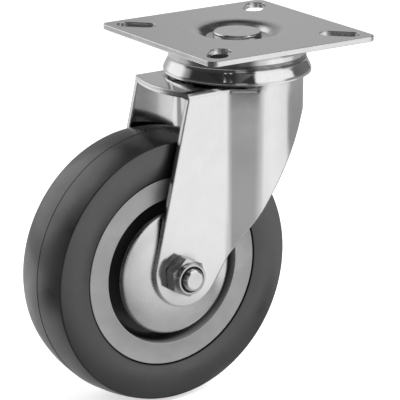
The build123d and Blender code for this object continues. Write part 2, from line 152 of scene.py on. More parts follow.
def skin(bm, loops):
    """Joins each loop of vertices to the next; a loop of one vertex is the tip of a fan."""
    for low, high in zip(loops, loops[1:]):
        if len(low) == 1 and len(high) == 1:
            continue
        count = max(len(low), len(high))
        for k in range(count):
            n = (k + 1) % count
            if len(low) == 1:
                bm.faces.new((low[0], high[k], high[n]))
            elif len(high) == 1:
                bm.faces.new((low[k], low[n], high[0]))
            else:
                bm.faces.new((low[k], low[n], high[n], high[k]))


def lathe(bm, section, place, segments):
    """Turns a closed section of (radius, height) points, in mm, about the frame's Z axis."""
    rings = []
    for radius, height in section:
        if radius < 1e-6:
            rings.append([bm.verts.new(place @ Vector((0, 0, height * MM)))])
            continue
        ring = []
        for a in round_angles(segments):
            spot = Vector((radius * math.cos(a) * MM, radius * math.sin(a) * MM, height * MM))
            ring.append(bm.verts.new(place @ spot))
        rings.append(ring)
    skin(bm, rings + rings[:1])


def loft(bm, loops, place):
    """Skins loops of (x, y, z) points, in mm."""
    skin(bm, [[bm.verts.new(place @ (Vector(p) * MM)) for p in loop] for loop in loops])


def new_mesh(name, bm, body, material, sharp_angle=40):
    """Makes a piece that rides on a body, smooth but for edges sharper than the angle."""
    bmesh.ops.recalc_face_normals(bm, faces=bm.faces)
    mesh = bpy.data.meshes.new(name)
    bm.to_mesh(mesh)
    bm.free()
    for polygon in mesh.polygons:
        polygon.use_smooth = True
    mesh.set_sharp_from_angle(angle=math.radians(sharp_angle))
    piece = bpy.data.objects.new(name, mesh)
    bpy.context.scene.collection.objects.link(piece)
    mesh.materials.append(material)
    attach(piece, body)
    return piece


# ---------------------------------------------------------------- materials
class Nodes:
    """Short-hand for building a node material round its Principled BSDF."""

    def __init__(self, name):
        self.material = bpy.data.materials.new(name)
        self.material.use_nodes = True
        self.tree = self.material.node_tree
        self.shader = self.tree.nodes["Principled BSDF"]
        self.place = self.new("ShaderNodeTexCoord").outputs["Object"]

    def feed(self, socket, value):
        """Links another node's output to the socket, or sets the socket's value."""
        if isinstance(value, bpy.types.NodeSocket):
            self.tree.links.new(value, socket)
        else:
            socket.default_value = value

    def fill(self, node, **inputs):
        for key, value in inputs.items():
            self.feed(node.inputs[key.replace("_", " ")], value)

    def new(self, kind, **inputs):
        node = self.tree.nodes.new(kind)
        self.fill(node, **inputs)
        return node

    def noise(self, size, detail=3, rough=0.55, vector=None, distortion=0.0):
        """Noise whose lumps are about `size` mm across."""
        if vector is None:
            vector = self.place
        node = self.new("ShaderNodeTexNoise", Vector=vector, Scale=1.0 / (size * MM), Detail=detail,
                        Roughness=rough, Distortion=distortion)
        return node.outputs["Fac"]

    def streaks(self, scale):
        """Noise of 1 mm lumps, drawn out along each axis whose scale is under 1."""
        stretched = self.new("ShaderNodeMapping", Vector=self.place, Scale=scale).outputs["Vector"]
        return self.noise(1.0, 3, 0.7, vector=stretched)

    def ramp(self, value, low, high, start=0.3, end=0.7):
        """Smooth step from `low` at `start` to `high` at `end`."""
        node = self.new("ShaderNodeMapRange", Value=value, From_Min=start, From_Max=end, To_Min=low, To_Max=high)
        node.interpolation_type = "SMOOTHSTEP"
        return node.outputs["Result"]

    def math(self, how, *values):
        """One Math node, or a chain of them where there are more than two values."""
        result = values[0]
        for value in values[1:]:
            node = self.new("ShaderNodeMath")
            node.operation = how
            self.feed(node.inputs[0], result)
            self.feed(node.inputs[1], value)
            result = node.outputs[0]
        return result

    def vector_math(self, how, a, b=None):
        node = self.new("ShaderNodeVectorMath")
        node.operation = how
        self.feed(node.inputs[0], a)
        if b is not None:
            self.feed(node.inputs[1], b)
        return node.outputs["Value" if how == "LENGTH" else "Vector"]

    def part(self, letter, vector):
        """X, Y or Z of a vector."""
        return self.new("ShaderNodeSeparateXYZ", Vector=vector).outputs[letter]

    def grey(self, value):
        return self.new("ShaderNodeCombineColor", Red=value, Green=value, Blue=value).outputs[0]

    def bump(self, layers, edge=0.0):
        """Stacks (height, depth in mm, strength) layers, over edges eased by `edge` mm."""
        normal = None
        if edge:
            eased = self.new("ShaderNodeBevel", Radius=edge * MM)
            eased.samples = 6
            normal = eased.outputs["Normal"]
        for height, depth, strength in layers:
            node = self.new("ShaderNodeBump", Strength=strength, Distance=depth * MM, Height=height)
            if normal is not None:
                self.feed(node.inputs["Normal"], normal)
            normal = node.outputs["Normal"]
        self.fill(self.shader, Normal=normal)


def crease_shade(n, reach, dark):
    """Painted shade: darkens creases, where another surface lies within `reach` mm."""
    node = n.new("ShaderNodeAmbientOcclusion", Distance=reach * MM)
    node.samples = 8
    return n.ramp(node.outputs["AO"], dark, 1.0, 0.2, 0.85)


def groove_shade(n, high, low, dark):
    """Painted dark band between two heights, in mm, but not at the tail, where the photo shows one of unknown cause."""
    # The dark band is painted shade with streaks in it.
    height = n.part("Z", n.place)
    above = n.ramp(height, 0.0, 1.0, (high - 0.2) * MM, (high + 0.3) * MM)
    below = n.ramp(height, 1.0, 0.0, (low - 0.4) * MM, (low + 0.2) * MM)
    spared = n.ramp(n.part("X", n.place), 1.0, 0.0, -24 * MM, -8 * MM)
    unshaded = n.math("MINIMUM", n.math("ADD", above, below, spared), 1.0)
    painted_band = n.ramp(n.streaks((0.25, 0.25, 3.0)), dark * 0.6, dark * 1.6, 0.3, 0.7)
    return n.math("MAXIMUM", unshaded, painted_band)


def recess_shade(n, unshaded, deep, dark):
    """Painted shade: darkens the wheel's recess, with no shade beyond the first distance in mm from the wheel's middle
    plane and `dark` within `deep` mm.
    """
    return n.ramp(n.math("ABSOLUTE", n.part("Y", n.place), 0.0), dark, 1.0, deep * MM, unshaded * MM)


def underside_shade(n, dark):
    """Painted shade: darkens faces that look down."""
    facing = n.part("Z", n.new("ShaderNodeNewGeometry").outputs["Normal"])
    return n.ramp(facing, dark, 1.0, -0.7, -0.3)


def seam_shade(n, dark):
    """Painted shade: darkens the tyre where it meets the wheel centre."""
    arm = n.vector_math("SUBTRACT", n.place, (axle_x * MM, 0, axle_z * MM))
    radius = n.vector_math("LENGTH", n.vector_math("MULTIPLY", arm, (1, 0, 1)))
    return n.ramp(radius, dark, 1.0, (hub_radius + 0.35) * MM, (hub_radius + 1.1) * MM)


def plated(name, grey, rough, grain_size, grain, wave, brushed=None, mottle=0.05, recess=None, crease=None,
           groove=None, underside=None, edge=0.0):
    """Zinc-plated steel: slightly wavy and grained, with patches of duller plate."""
    n = Nodes(name)
    patches = n.noise(9.0, 4, 0.6)
    fine = n.noise(grain_size, 3, 0.7)
    if brushed is not None:
        fine = n.math("ADD", n.math("MULTIPLY", fine, 0.4), n.math("MULTIPLY", n.streaks(brushed), 0.6))
    specks = n.ramp(n.noise(0.9, 2, 0.8), 0.0, 1.0, 0.62, 0.72)
    tones = [
        n.ramp(patches, grey * (1 - mottle), grey * (1 + mottle)),
        n.ramp(fine, 1 - 0.6 * mottle, 1 + 0.6 * mottle, 0.25, 0.75),
        n.math("SUBTRACT", 1.0, n.math("MULTIPLY", specks, 1.5 * mottle)),
    ]
    # Painted shade: the recess, crease, groove and underside tones darken the colour where shade falls.
    if recess is not None:
        tones.append(recess_shade(n, *recess))
    if crease is not None:
        tones.append(crease_shade(n, *crease))
    if groove is not None:
        tones.append(groove_shade(n, *groove))
    if underside is not None:
        tones.append(underside_shade(n, underside))
    duller = n.math("MULTIPLY", n.ramp(fine, -0.5, 0.5, 0.2, 0.8), 0.06)
    n.fill(n.shader, Base_Color=n.grey(n.math("MULTIPLY", *tones)), Metallic=1.0,
           Roughness=n.math("ADD", n.ramp(patches, *rough), duller))
    n.bump([(n.noise(14.0, 2, 0.5), 0.1, wave * 10), (fine, 0.01, grain)], edge)
    return n.material


def moulded(name, grey, rough, specular=0.5, recess=None, crease=None):
    """Moulded plastic with a fine grain and faint flow marks; painted shade may darken its recesses and creases."""
    n = Nodes(name)
    flow = n.noise(12.0, 3, 0.5, distortion=0.6)
    fine = n.noise(0.35, 2, 0.6)
    tones = [n.ramp(flow, grey * 0.94, grey * 1.05), n.ramp(fine, 0.96, 1.04, 0.25, 0.75)]
    if recess is not None:
        tones.append(recess_shade(n, *recess))
    # Painted shade in the creases, on both colour and specular level.
    if crease is not None:
        shade = crease_shade(n, *crease)
        tones.append(shade)
        specular = n.math("MULTIPLY", shade, specular)
    n.fill(n.shader, Base_Color=n.grey(n.math("MULTIPLY", *tones)), Specular_IOR_Level=specular,
           Roughness=n.ramp(flow, rough * 0.9, rough * 1.1))
    n.bump([(fine, 0.02, 0.25)])
    return n.material


def rubber(name, grey, rough):
    """Dark grey rubber with a soft bloom and a fine mould texture."""
    n = Nodes(name)
    bloom = n.noise(16.0, 4, 0.55, distortion=0.4)
    fine = n.noise(0.4, 3, 0.6)
    dust = n.ramp(n.noise(2.2, 4, 0.7), 0.0, 1.0, 0.5, 0.8)
    tone = n.math("MULTIPLY", n.ramp(bloom, grey * 0.9, grey * 1.1), n.ramp(fine, 0.93, 1.07, 0.25, 0.75))
    tone = n.math("ADD", tone, n.math("MULTIPLY", dust, grey * 0.08))
    # Painted shade where the tyre meets the wheel centre and in creases, on both colour and specular level.
    shade = n.math("MULTIPLY", seam_shade(n, 0.12), crease_shade(n, 9.0, 0.15))
    n.fill(n.shader, Base_Color=n.grey(n.math("MULTIPLY", tone, shade)), Specular_IOR_Level=shade, IOR=1.62,
           Roughness=n.ramp(bloom, rough - 0.05, rough + 0.06))
    n.bump([(n.noise(6.0, 2, 0.5), 0.05, 0.15), (fine, 0.02, 0.25)])
    return n.material


# The recess, crease, groove and underside settings below paint shade into the colour.
plate_steel = plated(
    "plate_zinc", 0.82, rough=(0.20, 0.28), grain_size=0.5, grain=0.10, wave=0.012, brushed=(0.12, 1.2, 1.0),
    mottle=0.07, crease=(3.0, 0.5), underside=0.3, edge=0.35)
sheet_steel = plated(
    "sheet_zinc", 0.85, rough=(0.10, 0.14), grain_size=0.5, grain=0.04, wave=0.004, mottle=0.02,
    crease=(7.0, 0.45), edge=1.2)
cup_steel = plated(
    "cup_zinc", 0.84, rough=(0.07, 0.12), grain_size=0.5, grain=0.10, wave=0.012, groove=(-9.6, -11.8, 0.30))
disc_steel = plated(
    "disc_zinc", 0.86, rough=(0.24, 0.28), grain_size=0.5, grain=0.03, wave=0.004, mottle=0.03,
    recess=(17.1, 16.4, 0.4), crease=(1.8, 0.12))
fastener_steel = plated(
    "fastener_zinc", 0.80, rough=(0.12, 0.20), grain_size=0.4, grain=0.20, wave=0.01, crease=(3.0, 0.4), edge=0.4)
nut_steel = plated(
    "nut_zinc", 0.68, rough=(0.14, 0.24), grain_size=0.4, grain=0.25, wave=0.01, crease=(3.0, 0.5), edge=0.4)
bearing_steel = plated("bearing_steel", 0.58, rough=(0.12, 0.20), grain_size=0.4, grain=0.15, wave=0.0)
insert_nylon = moulded("insert_nylon", 0.018, 0.40)
bearing_nylon = moulded("bearing_nylon", 0.03, 0.45)
wheel_plastic = moulded("wheel_plastic", 0.31, 0.34, specular=0.8, recess=(14.5, 9.0, 0.15), crease=(11.0, 0.1))
tyre_rubber = rubber("tyre_rubber", 0.014, 0.30)


# ---------------------------------------------------------------- wheel
def arc_through(start, middle, end, count):
    """Points between the ends of an arc through three points."""
    (x1, y1), (x2, y2), (x3, y3) = start, middle, end
    d = 2 * (x1 * (y2 - y3) + x2 * (y3 - y1) + x3 * (y1 - y2))
    s1, s2, s3 = x1**2 + y1**2, x2**2 + y2**2, x3**2 + y3**2
    cx = (s1 * (y2 - y3) + s2 * (y3 - y1) + s3 * (y1 - y2)) / d
    cy = (s1 * (x3 - x2) + s2 * (x1 - x3) + s3 * (x2 - x1)) / d
    r = math.hypot(x1 - cx, y1 - cy)
    a1, a3 = math.atan2(y1 - cy, x1 - cx), math.atan2(y3 - cy, x3 - cx)
    angles = [a1 + (a3 - a1) * k / count for k in range(1, count)]
    return [(cx + r * math.cos(a), cy + r * math.sin(a)) for a in angles]


def make_tyre():
    """Crowned tread with a mould line, full sidewalls and a channel that keys it to the wheel centre."""
    shoulder = (wheel_radius - tread_crown, tread_half - shoulder_inset)
    waist = (hub_radius + waist_height, tread_half)
    bead = (hub_radius + bead_gap, tread_half - bead_inset)
    radius = (shoulder[1] ** 2 + tread_crown**2) / (2 * tread_crown)
    ridge_top = ridge_half * 0.45
    corners = []
    steps = 14
    for i in range(steps + 1):
        h = shoulder[1] * (1 - 2 * i / steps)
        if i == steps // 2:
            corners += [
                (wheel_radius, ridge_half, 0.0),
                (wheel_radius + ridge_height, ridge_top, 0.06),
                (wheel_radius + ridge_height, -ridge_top, 0.06),
                (wheel_radius, -ridge_half, 0.0),
            ]
        else:
            r = wheel_radius - radius + math.sqrt(radius**2 - h**2)
            corners.append((r, h, shoulder_round if i in (0, steps) else 0.0))
    sidewall = arc_through(shoulder, waist, bead, 16)
    corners += [(r, -h, 0) for r, h in sidewall]
    floor = hub_radius - channel_depth
    gap_foot = hub_half - bead_gap_depth
    corners += [
        (bead[0], -bead[1], 0.25),
        (hub_radius, -gap_foot, 0.0),
        (hub_radius, -channel_half, 0.0),
        (floor, -channel_half, 0.0),
        (floor, channel_half, 0.0),
        (hub_radius, channel_half, 0.0),
        (hub_radius, gap_foot, 0.0),
        (bead[0], bead[1], 0.25),
    ]
    corners += [(r, h, 0) for r, h in reversed(sidewall)]
    bm = bmesh.new()
    lathe(bm, rounded(corners, step=8.0), FAR_SIDE, 224)
    piece = new_mesh("tyre_dressed", bm, "wheel", tyre_rubber)
    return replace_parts(piece, "tyre")


def make_hub():
    """Wheel centre: hollowed ring faces, a web between them and a boss round the bearing's sleeve."""
    ring_foot = ring_inner - (hub_half - web_half) * math.tan(math.radians(ring_draft))
    boss_foot = boss_radius + (boss_half - web_half) * math.tan(math.radians(boss_draft))
    half_ring = (hub_radius - ring_inner) / 2
    hollow_radius = (half_ring**2 + ring_hollow**2) / (2 * ring_hollow)
    middle = hub_radius - half_ring

    def half(sign):
        """From the channel's edge over the ring face, the web and the boss to the bearing's bore."""
        out = [
            (hub_radius - channel_depth, sign * channel_half, 0.0),
            (hub_radius, sign * channel_half, 0.0),
            (hub_radius, sign * hub_half, 0.35),
        ]
        count = 12
        for k in range(1, count):
            r = hub_radius - 2 * half_ring * k / count
            h = hub_half - ring_hollow + hollow_radius - math.sqrt(hollow_radius**2 - (r - middle) ** 2)
            out.append((r, sign * h, 0.0))
        out += [
            (ring_inner, sign * hub_half, 0.45),
            (ring_foot, sign * web_half, 2.0),
            (boss_foot, sign * web_half, 2.0),
            (boss_radius, sign * boss_half, 0.6),
            (sleeve_radius, sign * boss_half, 0.0),
        ]
        return out

    bm = bmesh.new()
    lathe(bm, rounded(half(1) + list(reversed(half(-1))), step=10.0), FAR_SIDE, 224)
    piece = new_mesh("wheel_hub_dressed", bm, "wheel", wheel_plastic, 50)
    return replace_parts(piece, "wheel_hub")


# ---------------------------------------------------------------- axle
def hex_outline(flats, angles):
    """(angle, radius) points of a hexagon with slightly rounded corners."""
    tips = [around(flats / math.sqrt(3), math.radians(60 * k + 30), 0.35) for k in range(6)]
    outline = rounded(tips, step=15.0, support=0.3)
    out = []
    for a in angles:
        hits = []
        for (x1, y1), (x2, y2) in zip(outline, outline[1:] + outline[:1]):
            dx, dy = x2 - x1, y2 - y1
            across = math.cos(a) * dy - math.sin(a) * dx
            if abs(across) < 1e-9:
                continue
            r = (x1 * dy - y1 * dx) / across
            t = (x1 * math.sin(a) - y1 * math.cos(a)) / across
            if -1e-6 <= t <= 1 + 1e-6 and r > 0:
                hits.append(r)
        out.append((a, min(hits)))
    return out


def hex_body(bm, flats, low, high, bore, place, turn, chamfer_low):
    """Hexagonal body with its corners turned down by a 30 degree cone, as closely meshed loops."""
    outline = hex_outline(flats, round_angles(180))
    land = flats / 2 - 0.2
    slope = math.tan(math.radians(30))
    ease = 0.12                 # the side's first and last loop, within its edges

    def flat(radius, z):
        return [around(radius, a, z) for a, _ in outline]

    def side(z, fall):
        """The full outline, moved by `fall` for each mm that it stands out of the land."""
        return [around(r, a, z + fall * max(0.0, r - land)) for a, r in outline]

    rise = slope if chamfer_low else 0.0
    loops = [
        flat(bore, low),
        flat(0.9 * land, low),
        [around(min(r, land), a, low) for a, r in outline],
        side(low, rise),
        side(low + ease, rise),
        side(high - ease, -slope),
        side(high, -slope),
        [around(min(r, land), a, high) for a, r in outline],
        flat(0.93 * land, high),
        flat(bore, high),
        flat(bore, low),
    ]
    spin = Matrix.Rotation(math.radians(turn), 4, "Z")
    loft(bm, [[spin @ Vector(p) for p in loop] for loop in loops], place)
    bmesh.ops.remove_doubles(bm, verts=bm.verts, dist=1e-7)


def make_nut():
    """Lock nut: a hexagon with a round collar rolled over its insert."""
    bm = bmesh.new()
    hex_body(bm, nut_flats, leg_outer, nut_hex_end, insert_outer, NEAR_SIDE, nut_turn, True)
    section = rounded([
        (insert_outer, nut_hex_end - 1.2, 0.0),
        (collar_radius + 0.55, nut_hex_end - 1.2, 0.0),
        (collar_radius + 0.55, nut_hex_end + 0.02, 0.0),
        (collar_radius, nut_hex_end + 0.45, 0.5),
        (collar_radius, nut_end, 0.85),
        (insert_outer + 0.05, nut_end, 0.25),
        (insert_outer + 0.05, insert_end - insert_depth, 0.0),
        (insert_outer, insert_end - insert_depth, 0.0),
    ], step=10.0)
    lathe(bm, section, NEAR_SIDE, 120)
    piece = new_mesh("axle_nut_dressed", bm, "fork_assembly", nut_steel, 35)
    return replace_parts(piece, "axle_nut")


def make_insert():
    """Nylon ring in the nut's collar, bulged where the collar grips it."""
    bm = bmesh.new()
    section = rounded([
        (insert_outer, insert_end - insert_depth, 0.0),
        (insert_outer, insert_end - 0.1, 0.15),
        (insert_outer - 0.4, insert_end + 0.02, 0.2),
        (insert_inner, insert_end - 0.12, 0.15),
        (insert_inner, insert_end - insert_depth, 0.0),
    ], step=15.0)
    lathe(bm, section, NEAR_SIDE, 96)
    piece = new_mesh("nut_insert_dressed", bm, "fork_assembly", insert_nylon)
    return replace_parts(piece, "nut_insert")


def make_bolt():
    """Bolt with a rolled thread on its nut end and a chamfered hexagon head."""
    bm = bmesh.new()
    segments, steps_per_turn = 96, 6
    angles = round_angles(segments)
    thread_start, thread_top = bolt_end - thread_turns * thread_pitch, bolt_end - bolt_chamfer
    steps = int((thread_top - thread_start) / thread_pitch * steps_per_turn)
    thread = []
    for i in range(steps + 1):
        z = thread_start + (thread_top - thread_start) * i / steps
        run = (z - thread_start) / thread_pitch
        fade = max(0.0, min(1.0, run, (thread_top - z + 0.3) / thread_pitch * 1.5))
        loop = []
        for k, a in enumerate(angles):
            wave = abs(2 * ((run - k / segments) % 1.0) - 1)
            cut = thread_depth * min(1.0, max(0.0, (0.85 - wave) / 0.6))
            loop.append(around(bolt_radius - cut * fade, a, z))
        thread.append(loop)

    def circle(radius, z):
        return [around(radius, a, z) for a in angles]

    foot = -leg_outer - 0.5
    shank = [
        [(0, 0, foot)],
        circle(bolt_radius, foot),
        circle(bolt_radius, foot + 0.3),
        circle(bolt_radius, thread_start - 0.2),
    ]
    tip = [
        circle(bolt_radius, thread_top + 0.05),
        circle(bolt_radius - 0.9, bolt_end - 0.06),
        circle(bolt_radius - 1.05, bolt_end),
        circle(bolt_radius - 1.25, bolt_end),
        circle(bolt_radius - 3.2, bolt_end - 0.05),
        [(0, 0, bolt_end - 0.06)],
    ]
    loft(bm, shank + thread + tip, NEAR_SIDE)
    head_end, face_radius = leg_outer + head_height, 6.9
    hex_body(bm, head_flats, leg_outer, head_end, 1.0, FAR_SIDE, head_turn, False)
    face = rounded([
        (0.0, head_end - 0.4, 0.0),
        (face_radius, head_end - 0.4, 0.0),
        (face_radius, head_end, 0.1),
        (face_radius - 1.3, head_end - 0.12, 0.3),
        (0.0, head_end - 0.12, 0.0),
    ], step=15.0)
    lathe(bm, face, FAR_SIDE, 96)
    piece = new_mesh("axle_bolt_dressed", bm, "fork_assembly", fastener_steel, 35)
    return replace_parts(piece, "axle_bolt")


def make_guard(name, place):
    """Dished disc, clamped flat in the middle and curled in at the rim."""
    rim_radius, rim_height = guard_radius - guard_bend, leg_inner - guard_dome
    run = rim_radius - guard_flat
    radius = (run**2 + guard_dome**2) / (2 * guard_dome)
    end = math.asin(run / radius)
    outer, inner = [], []
    count = 22
    for k in range(count + 1):
        a = end * k / count
        under = radius - guard_thickness
        outer.append((guard_flat + radius * math.sin(a), leg_inner - radius * (1 - math.cos(a)), 0.0))
        inner.append((guard_flat + under * math.sin(a), leg_inner - radius + under * math.cos(a), 0.0))
    sweep = 2 * (math.pi / 4 - end)
    curl = guard_bend * math.sqrt(2) / (2 * math.sin(sweep / 2))
    cx, cy = rim_radius - curl * math.sin(end), rim_height - curl * math.cos(end)
    steps = 8
    for k in range(1, steps + 1):
        a = end + sweep * k / steps
        edge = 0.25 if k == steps else 0.0
        for side, r in ((outer, curl), (inner, curl - guard_thickness)):
            side.append((cx + r * math.sin(a), cy + r * math.cos(a), edge))
    bore = bolt_radius + bolt_hole_gap
    corners = [(bore, leg_inner, 0.2)] + outer + inner[::-1] + [(bore, leg_inner - guard_thickness, 0.2)]
    bm = bmesh.new()
    lathe(bm, rounded(corners, step=20.0, support=0.1), place, 192)
    piece = new_mesh(name + "_dressed", bm, "fork_assembly", disc_steel)
    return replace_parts(piece, name)


# ---------------------------------------------------------------- swivel bearing
def make_balls(name, body, ball_radius, ring_radius, height, count):
    """Full ring of bearing balls about the swivel axis, the first on +X."""
    bm = bmesh.new()
    for a in round_angles(count):
        spot = Vector(around(ring_radius, a, height)) * MM
        bmesh.ops.create_icosphere(bm, subdivisions=4, radius=ball_radius * MM, matrix=Matrix.Translation(spot))
    piece = new_mesh(name + "_dressed", bm, body, bearing_steel)
    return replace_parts(piece, name)


make_tyre()
make_hub()
make_nut()
make_insert()
make_bolt()
make_guard("thread_guard_near", NEAR_SIDE)
make_guard("thread_guard_far", FAR_SIDE)
make_balls("upper_balls", "upper_ball_set", *upper_ring)
make_balls("lower_balls", "lower_ball_set", *lower_ring)

# ---------------------------------------------------------------- materials of the carried-over nodes
finishes = {
    "top_plate": plate_steel,
    "upper_race_cup": cup_steel,
    "kingpin": fastener_steel,
    "lower_race": cup_steel,
    "fork": sheet_steel,
    "bearing_rollers": bearing_steel,
    "axle_tube": bearing_steel,
    "bearing_sleeve": bearing_steel,
    "roller_cage": bearing_nylon,
    "end_cap_near": bearing_nylon,
    "end_cap_far": bearing_nylon,
}
for node_name, finish in finishes.items():
    mesh = nodes[node_name].data
    mesh.materials.clear()
    mesh.materials.append(finish)

# ---------------------------------------------------------------- studio
CAMERA_SIDE = -124.4            # azimuth of the camera seen from the castor, in degrees
FLOOR_Z = cad_low.z - 0.0002
FLOOR_REACH = 6.0
FLOOR_GREY, FLOOR_GLOW = 0.85, 0.60
WORLD_LEVEL = 0.55              # as it lights the castor; the camera and reflections see 1
STUDIO_RADIUS, STUDIO_DROP = 1.5, 0.06
LAMP_TARGET = Vector((-0.03, 0, -0.08))

# What the plated steel mirrors in place of the floor and the world. These levels are fitted to the photo: greys read at
# points of the steel were turned to linear light, divided by its reflectance, put where each point's reflection goes,
# and adjusted. Part of them is therefore sampled from the photo, which report.md names as open.
# A row is a height and its (azimuth, level) stops. Azimuths run from the camera's side, positive to the camera's
# right. The drapes' heights are elevations in degrees.
DRAPES = [
    (-2, [(-180, 0.36), (-150, 0.45), (-120, 0.8), (-102, 0.6), (-88, 0.05), (-6, 0.05), (0, 0.3), (11, 0.3),
        (17, 0.06), (25, 0.06), (36, 0.7), (70, 0.85), (80, 0.3), (98, 0.22), (104, 0.16), (148, 0.16),
        (155, 0.08), (166, 0.08), (171, 0.32), (180, 0.36)]),
    (6, [(-180, 0.38), (-170, 0.22), (-150, 0.6), (-126, 1.0), (-102, 0.9), (-88, 0.05), (-6, 0.05), (0, 0.3),
        (11, 0.3), (17, 0.06), (25, 0.06), (36, 0.8), (70, 0.9), (80, 0.3), (98, 0.22), (104, 0.16),
        (148, 0.16), (155, 0.08), (166, 0.08), (171, 0.36), (180, 0.38)]),
    (11, [(-180, 0.5), (-172, 0.36), (-155, 0.5), (-140, 1.05), (-126, 1.05), (-102, 1.0), (-88, 0.05),
        (-6, 0.04), (0, 0.3), (11, 0.3), (17, 0.06), (25, 0.06), (34, 0.8), (70, 0.9), (82, 0.4), (98, 0.3),
        (104, 0.16), (148, 0.16), (154, 0.07), (165, 0.07), (170, 0.48), (180, 0.53)]),
    (20, [(-180, 0.42), (-168, 0.3), (-156, 0.35), (-142, 1.0), (-104, 1.0), (-90, 0.3), (-80, 0.04),
        (-6, 0.04), (0, 0.25), (11, 0.25), (17, 0.05), (26, 0.05), (32, 0.9), (98, 0.95), (102, 0.1),
        (148, 0.1), (154, 0.06), (165, 0.06), (171, 0.42), (180, 0.42)]),
    (28, [(-180, 0.4), (-160, 0.3), (-142, 1.05), (-104, 1.05), (-90, 0.3), (-80, 0.03), (28, 0.03), (31, 1.0),
        (98, 1.0), (101, 0.06), (160, 0.06), (170, 0.42), (180, 0.4)]),
    (38, [(-180, 0.3), (-156, 0.2), (-142, 1.05), (-104, 1.05), (-90, 0.4), (-80, 0.03), (28, 0.03), (33, 1.0),
        (96, 1.0), (101, 0.06), (160, 0.06), (168, 0.42), (180, 0.3)]),
    (46, [(-180, 0.05), (-156, 0.06), (-142, 1.05), (-104, 1.05), (-92, 0.3), (-80, 0.03), (28, 0.03),
        (34, 1.0), (96, 1.0), (101, 0.06), (164, 0.06), (180, 0.05)]),
    (55, [(-180, 0.03), (-146, 0.05), (-136, 0.4), (-104, 0.4), (-92, 0.05), (-80, 0.03), (28, 0.03), (34, 0.5),
        (80, 0.5), (84, 1.0), (96, 1.0), (101, 0.05), (180, 0.03)]),
    (64, [(-180, 0.05), (78, 0.05), (84, 1.0), (96, 1.0), (102, 0.05), (180, 0.05)]),
    (72, [(-180, 0.12), (180, 0.12)]),
    (90, [(-180, 0.36), (180, 0.36)]),
]
DRAPE_HEIGHTS = (-2, 2, 6, 11, 15, 20, 24, 28, 33, 38, 42, 46, 50, 55, 60, 64, 68, 72, 89)

